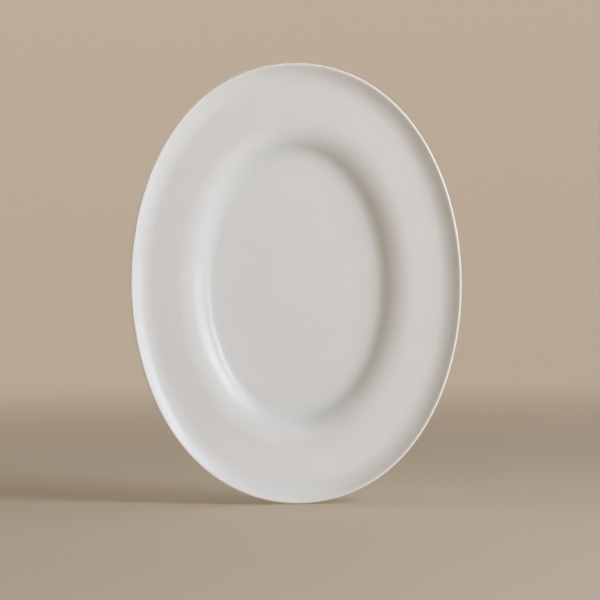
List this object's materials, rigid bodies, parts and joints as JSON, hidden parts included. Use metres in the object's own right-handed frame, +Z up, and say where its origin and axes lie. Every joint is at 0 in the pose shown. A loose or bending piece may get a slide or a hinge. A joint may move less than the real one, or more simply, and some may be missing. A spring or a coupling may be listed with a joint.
{
  "type": "serving platter",
  "caption": "Oval white china serving platter with a flat well, a broad rim, a turned-up lip and an unglazed foot ring.",
  "frame": {"origin": "middle of the platter's bounding box in X and Y, at the bottom of its lower narrow end", "axes": "+Z up along the platter's length, +X across its width, -Y out of the well towards the viewer, +Y out of the foot ring"},
  "size_m": [0.267, 0.0296, 0.356],
  "materials": {
    "glazed_china": "clear glossy glaze over white china",
    "unglazed_china": "unglazed fired china, ground flat where it bears"
  },
  "bodies": {
    "root": {"platter_body": "glazed_china", "foot_ring": "unglazed_china"}
  },
  "joints": []
}
